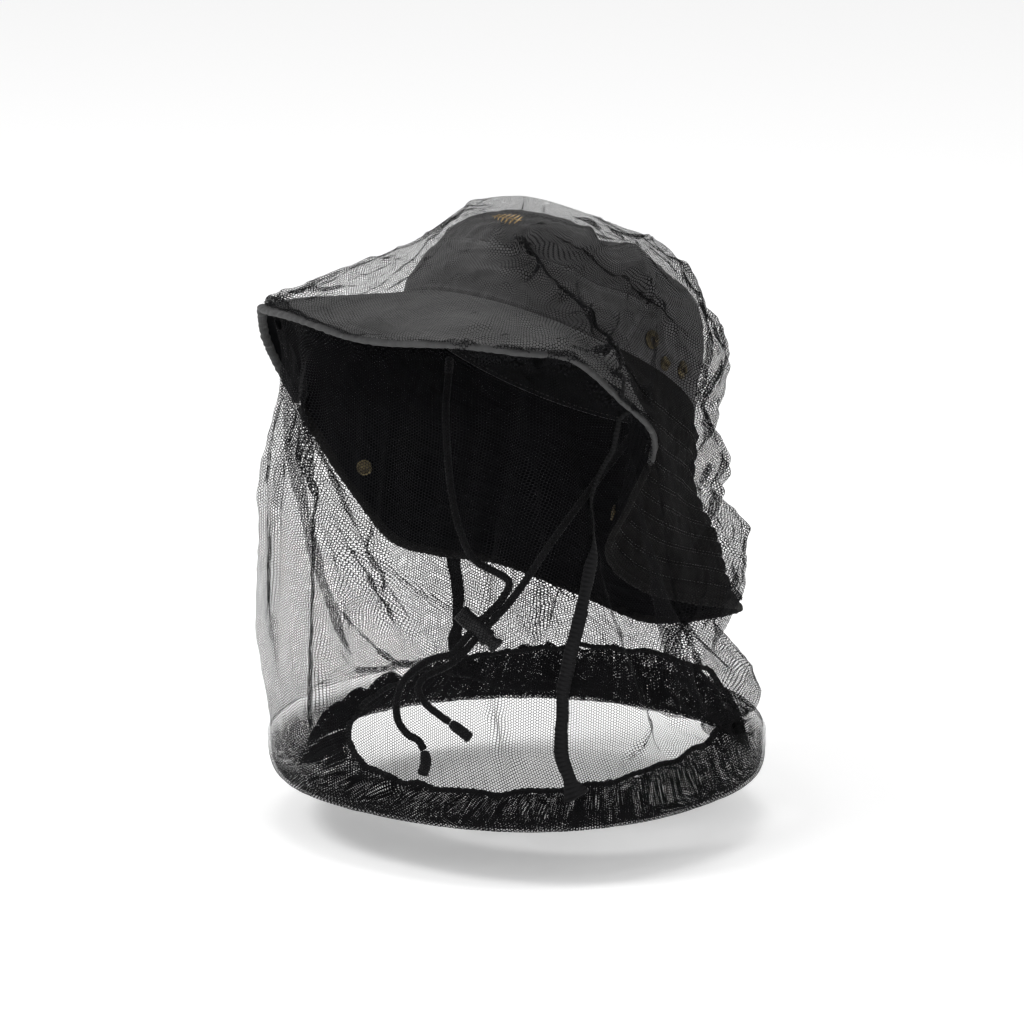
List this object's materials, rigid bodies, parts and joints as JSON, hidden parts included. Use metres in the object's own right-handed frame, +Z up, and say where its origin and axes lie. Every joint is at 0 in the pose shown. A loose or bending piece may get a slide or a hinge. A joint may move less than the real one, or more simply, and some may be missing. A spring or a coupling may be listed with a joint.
{
  "type": "beekeeping veil",
  "caption": "Soft wide-brimmed sun hat with a rear neck flap and adjustable chin cord, worn under a fine black beekeeping net veil with an elasticated hem.",
  "frame": {"origin": "centre of the oval seam where the crown meets the brim, which goes round the wearer's head", "axes": "+Z up, the wearer faces -Y, the wearer's left is +X"},
  "size_m": [0.284, 0.282, 0.3337],
  "materials": {
    "cotton": "black cotton twill, slightly faded, lined",
    "flap_cotton": "faded brown-black cotton with rows of double stitching, blue-black underside",
    "lining": "blue-black lining cotton",
    "binding": "piped cotton edge",
    "brass": "aged brass",
    "thread": "gold embroidery thread",
    "cord": "soft braided polyester cord",
    "plastic": "black moulded plastic",
    "steel": "spring wire",
    "net": "fine black hexagonal tulle, about 2 mm mesh",
    "tape": "fuzzy overlocked black seam tape",
    "elastic": "gathered elastic in a net casing"
  },
  "bodies": {
    "hat": {"crown_front_band": "cotton", "crown_front_panel": "cotton", "crown_rear_panel": "cotton", "crown_top_panel": "cotton", "sweatband": "lining", "front_brim": "cotton", "rear_flap": "flap_cotton", "front_brim_binding": "binding", "rear_flap_binding": "binding", "eyelet_left_front": "brass", "eyelet_left_rear": "brass", "eyelet_right_front": "brass", "eyelet_right_rear": "brass", "snap_stud_left": "brass", "snap_stud_right": "brass", "snap_socket_left": "brass", "snap_socket_right": "brass", "snap_cap_left": "brass", "snap_cap_right": "brass", "embroidered_emblem": "thread", "cord_anchor_left": "tape", "cord_anchor_right": "tape", "chin_cord_left": "cord", "chin_cord_right": "cord", "cord_end_left": "cord", "cord_end_right": "cord"},
    "veil": {"veil_front_panel": "net", "veil_rear_panel": "net", "veil_seam_left": "tape", "veil_seam_right": "tape", "hem_casing": "net", "hem_elastic": "elastic"},
    "cord_lock": {"cord_lock_body": "plastic", "cord_lock_spring": "steel"},
    "lock_button": {"cord_lock_button": "plastic"}
  },
  "joints": [
    {"name": "veil_lift", "type": "slide", "parent": "hat", "child": "veil", "axis": [0, 0, 1], "range_m": [0, 0.33], "deforming": ["hem_casing", "hem_elastic"]},
    {"name": "cord_lock_slide", "type": "slide", "parent": "hat", "child": "cord_lock", "axis": [0.314, 0.693, 0.649], "range_m": [-0.012, 0.012]},
    {"name": "button_press", "type": "slide", "parent": "cord_lock", "child": "lock_button", "axis": [-0.6835, -0.3087, 0.6615], "range_m": [0, 0.003], "stiffness_N_per_m": 400, "springref_m": -0.003, "deforming": ["cord_lock_spring"]}
  ]
}
